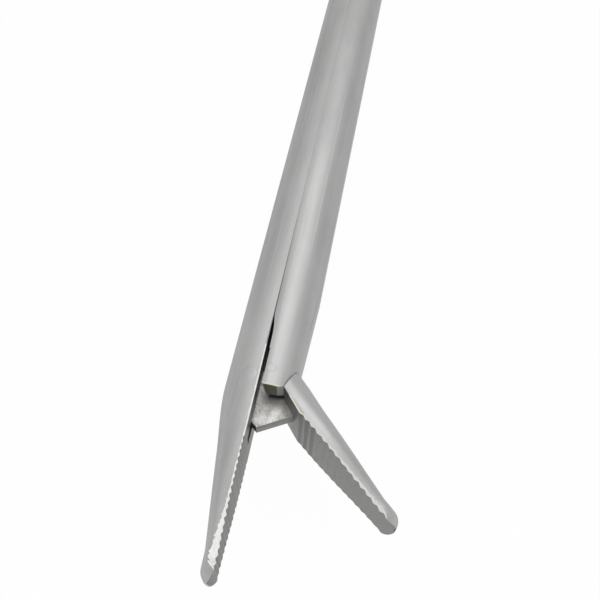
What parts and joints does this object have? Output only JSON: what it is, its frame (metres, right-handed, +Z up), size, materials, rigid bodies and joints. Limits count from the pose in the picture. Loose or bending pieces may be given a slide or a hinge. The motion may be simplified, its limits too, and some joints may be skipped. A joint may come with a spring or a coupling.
{
  "type": "alligator ear forceps",
  "caption": "Ring-handled ear forceps with a long two-bar shaft: squeezing the handles slides the upper bar and shuts small serrated alligator jaws.",
  "frame": {"origin": "the handle pivot's axis, on the flat underside that rests on the table", "axes": "+X along the shaft towards the jaws, +Y from the fixed bar to the sliding bar, +Z up from the table along the handle pivot"},
  "size_m": [0.1456, 0.0675, 0.005],
  "materials": {
    "shaft_steel": "satin, brushed along the shaft",
    "handle_steel": "satin",
    "pin_steel": "ground flush",
    "screw_steel": "turned and polished"
  },
  "bodies": {
    "fixed_side": {"fixed_bar": "shaft_steel", "jaw_pivot_pin": "pin_steel", "thumb_handle": "handle_steel", "handle_pivot_screw": "screw_steel", "tang_rivets": "pin_steel"},
    "slider": {"sliding_bar": "shaft_steel", "jaw_link_pin": "pin_steel", "front_guide_stud": "pin_steel", "rear_guide_stud": "pin_steel", "slider_drive_pin": "pin_steel"},
    "jaw": {"moving_jaw": "shaft_steel"},
    "finger_lever": {"finger_handle": "handle_steel"}
  },
  "joints": [
    {"name": "handle_squeeze", "type": "hinge", "parent": "fixed_side", "child": "finger_lever", "pos_m": [0, 0, 0.0025], "axis": [0, 0, -1], "range_deg": [0, 11.72]},
    {"name": "bar_slide", "type": "slide", "parent": "fixed_side", "child": "slider", "axis": [1, 0, 0], "range_m": [0, 0.00082101]},
    {"name": "jaw_swing", "type": "hinge", "parent": "fixed_side", "child": "jaw", "pos_m": [0.07964, 0.00266, 0.0025], "axis": [0, 0, -1], "range_deg": [0, 50]}
  ],
  "couplings": [
    {"joint": "bar_slide", "follows": "handle_squeeze", "m_per_rad": 0.004014},
    {"joint": "jaw_swing", "follows": "handle_squeeze", "ratio": 4.2666}
  ]
}
